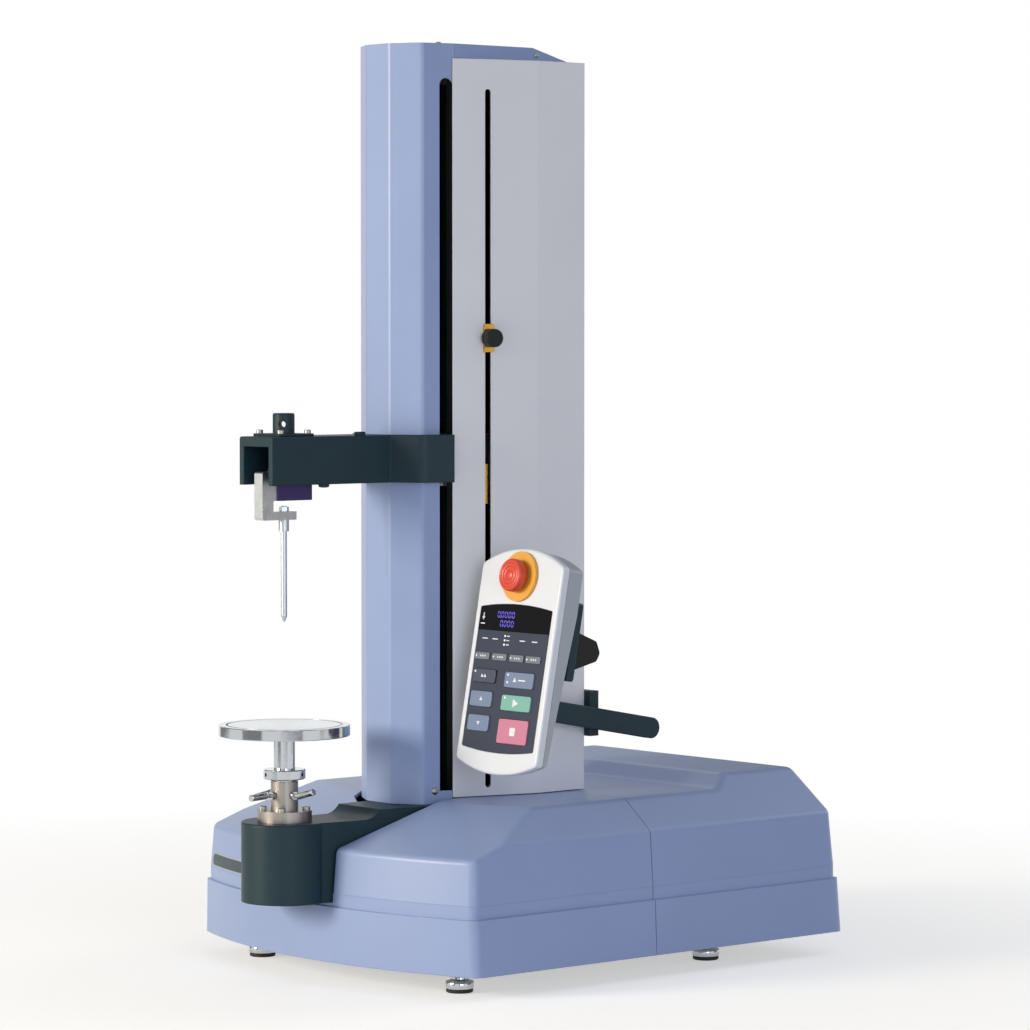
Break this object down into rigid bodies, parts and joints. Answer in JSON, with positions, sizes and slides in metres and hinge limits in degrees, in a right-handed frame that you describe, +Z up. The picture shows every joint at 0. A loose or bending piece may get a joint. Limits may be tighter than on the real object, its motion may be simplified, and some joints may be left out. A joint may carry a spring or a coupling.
{
  "type": "universal testing machine",
  "caption": "Table-top testing machine with one column: a crosshead arm with load cell and probe travels above a round platen, controlled from a handset on a side bracket.",
  "frame": {"origin": "on the table, under the middle of the machine's outline", "axes": "+X to the right seen from the front, +Y to the back, +Z up"},
  "size_m": [0.405, 0.582, 0.86],
  "materials": {
    "green_paint": "satin",
    "blue_paint": "satin",
    "grey_paint": "satin",
    "black_paint": "matte",
    "zinc_steel": "satin",
    "ground_steel": "satin",
    "nickel_steel": "satin",
    "chrome": "polished",
    "aluminium": "satin",
    "violet_anodised": "anodised",
    "brass": "satin",
    "black_screw": "black oxide",
    "black_plastic": "matte",
    "grey_plastic": "matte",
    "white_plastic": "matte",
    "board_plastic": "matte",
    "panel_film": "satin",
    "yellow_plastic": "gloss",
    "red_plastic": "gloss",
    "dark_key": "satin",
    "grey_key": "satin",
    "green_key": "satin",
    "red_key": "satin",
    "belt_rubber": "matte",
    "foot_rubber": "matte"
  },
  "bodies": {
    "machine": {"table_casting": "green_paint", "base_plate": "zinc_steel", "front_tray": "blue_paint", "rear_tray": "blue_paint", "front_cover_left": "blue_paint", "front_cover_right": "blue_paint", "rear_cover": "blue_paint", "column_frame": "aluminium", "column_front_cover": "blue_paint", "column_rear_cover": "blue_paint", "side_cover_left": "grey_paint", "side_cover_right": "grey_paint", "slot_liners": "black_plastic", "guide_rails": "ground_steel", "screw_bearings": "ground_steel", "drive_motor": "black_paint", "timing_belt": "belt_rubber", "electronics": "board_plastic", "connector_panel": "black_plastic", "power_inlet": "black_plastic", "limit_rod": "ground_steel", "machine_screws": "black_screw", "jig_flange": "nickel_steel", "holder_block": "green_paint"},
    "crosshead": {"crosshead_arm": "green_paint", "carriage": "aluminium", "trip_finger": "brass", "joint_plate": "black_screw", "load_cell": "violet_anodised", "cell_bracket": "aluminium"},
    "probe": {"probe_rod": "ground_steel"},
    "screw": {"ball_screw": "ground_steel"},
    "motor_shaft": {"motor_pulley": "aluminium"},
    "stop_upper": {"upper_stop": "brass"},
    "stop_lower": {"lower_stop": "brass"},
    "knob_upper": {"upper_stop_knob": "black_plastic"},
    "knob_lower": {"lower_stop_knob": "black_plastic"},
    "foot_1": {"foot_front_left": "foot_rubber"},
    "foot_2": {"foot_front_right": "foot_rubber"},
    "foot_3": {"foot_rear_left": "foot_rubber"},
    "foot_4": {"foot_rear_right": "foot_rubber"},
    "table_plate": {"platen": "chrome"},
    "ring": {"lock_ring": "chrome"},
    "lever_left": {"clamp_lever_left": "chrome"},
    "lever_front": {"clamp_lever_front": "chrome"},
    "lever_right": {"clamp_lever_right": "chrome"},
    "holder": {"holder_arm": "green_paint", "hanger_hook": "black_plastic", "handset_back": "grey_plastic", "handset_bezel": "white_plastic", "key_panel": "panel_film", "estop_collar": "yellow_plastic"},
    "estop": {"estop_head": "red_plastic"},
    "rocker": {"power_switch": "black_plastic"},
    "button_speed": {"key_speed": "dark_key"},
    "button_return": {"key_return": "grey_key"},
    "button_start": {"key_start": "green_key"},
    "button_stop": {"key_stop": "red_key"},
    "button_up": {"key_up": "grey_key"},
    "button_down": {"key_down": "grey_key"}
  },
  "joints": [
    {"name": "crosshead_travel", "type": "slide", "parent": "machine", "child": "crosshead", "axis": [0, 0, 1], "range_m": [-0.092, 0.322]},
    {"name": "screw_spin", "type": "hinge", "parent": "machine", "child": "screw", "pos_m": [0, -0.042, 0.4], "axis": [0, 0, 1], "continuous": true},
    {"name": "motor_spin", "type": "hinge", "parent": "machine", "child": "motor_shaft", "pos_m": [0, 0.118, 0.06], "axis": [0, 0, 1], "continuous": true},
    {"name": "upper_stop_slide", "type": "slide", "parent": "machine", "child": "stop_upper", "axis": [0, 0, 1], "range_m": [-0.1, 0.2]},
    {"name": "lower_stop_slide", "type": "slide", "parent": "machine", "child": "stop_lower", "axis": [0, 0, 1], "range_m": [-0.06, 0.14]},
    {"name": "upper_knob_turn", "type": "hinge", "parent": "stop_upper", "child": "knob_upper", "pos_m": [0.0631, -0.04041, 0.589], "axis": [0.9641, -0.2654, 0], "continuous": true},
    {"name": "lower_knob_turn", "type": "hinge", "parent": "stop_lower", "child": "knob_lower", "pos_m": [0.0631, -0.04041, 0.25], "axis": [0.9641, -0.2654, 0], "continuous": true},
    {"name": "platen_turn", "type": "hinge", "parent": "machine", "child": "table_plate", "pos_m": [0, -0.231, 0.237], "axis": [0, 0, 1], "continuous": true},
    {"name": "lock_ring_turn", "type": "hinge", "parent": "table_plate", "child": "ring", "pos_m": [0, -0.231, 0.1918], "axis": [0, 0, 1], "continuous": true},
    {"name": "left_lever_turn", "type": "hinge", "parent": "machine", "child": "lever_left", "pos_m": [-0.02, -0.231, 0.1728], "axis": [-1, 0, 0], "range_deg": [-90, 90]},
    {"name": "front_lever_turn", "type": "hinge", "parent": "machine", "child": "lever_front", "pos_m": [0, -0.251, 0.1728], "axis": [0, -1, 0], "range_deg": [-90, 90]},
    {"name": "right_lever_turn", "type": "hinge", "parent": "machine", "child": "lever_right", "pos_m": [0.02, -0.231, 0.1728], "axis": [1, 0, 0], "range_deg": [-90, 90]},
    {"name": "probe_turn", "type": "hinge", "parent": "crosshead", "child": "probe", "pos_m": [0, -0.231, 0.42], "axis": [0, 0, 1], "continuous": true},
    {"name": "holder_tilt", "type": "hinge", "parent": "machine", "child": "holder", "pos_m": [0.09, 0.0733, 0.22976], "axis": [1, 0, 0], "range_deg": [-20, 3]},
    {"name": "estop_press", "type": "slide", "parent": "holder", "child": "estop", "axis": [0, 0.9829, -0.1839], "range_m": [0, 0.002], "stiffness_N_per_m": 500},
    {"name": "power_rocker", "type": "hinge", "parent": "machine", "child": "rocker", "pos_m": [-0.088, 0.2807, 0.051], "axis": [1, 0, 0], "range_deg": [-6, 6]},
    {"name": "foot_1_turn", "type": "hinge", "parent": "machine", "child": "foot_1", "pos_m": [-0.146, -0.145, 0.02], "axis": [0, 0, 1], "continuous": true},
    {"name": "foot_2_turn", "type": "hinge", "parent": "machine", "child": "foot_2", "pos_m": [0.146, -0.145, 0.02], "axis": [0, 0, 1], "continuous": true},
    {"name": "foot_3_turn", "type": "hinge", "parent": "machine", "child": "foot_3", "pos_m": [-0.146, 0.16, 0.02], "axis": [0, 0, 1], "continuous": true},
    {"name": "foot_4_turn", "type": "hinge", "parent": "machine", "child": "foot_4", "pos_m": [0.146, 0.16, 0.02], "axis": [0, 0, 1], "continuous": true},
    {"name": "press_speed", "type": "slide", "parent": "holder", "child": "button_speed", "axis": [0, 0.9829, -0.1839], "range_m": [0, 0.0006], "stiffness_N_per_m": 400},
    {"name": "press_return", "type": "slide", "parent": "holder", "child": "button_return", "axis": [0, 0.9829, -0.1839], "range_m": [0, 0.0006], "stiffness_N_per_m": 400},
    {"name": "press_start", "type": "slide", "parent": "holder", "child": "button_start", "axis": [0, 0.9829, -0.1839], "range_m": [0, 0.0006], "stiffness_N_per_m": 400},
    {"name": "press_stop", "type": "slide", "parent": "holder", "child": "button_stop", "axis": [0, 0.9829, -0.1839], "range_m": [0, 0.0006], "stiffness_N_per_m": 400},
    {"name": "press_up", "type": "slide", "parent": "holder", "child": "button_up", "axis": [0, 0.9829, -0.1839], "range_m": [0, 0.0006], "stiffness_N_per_m": 400},
    {"name": "press_down", "type": "slide", "parent": "holder", "child": "button_down", "axis": [0, 0.9829, -0.1839], "range_m": [0, 0.0006], "stiffness_N_per_m": 400}
  ],
  "couplings": [
    {"joint": "screw_spin", "follows": "crosshead_travel", "rad_per_m": 314.16},
    {"joint": "motor_spin", "follows": "crosshead_travel", "rad_per_m": 628.32}
  ]
}
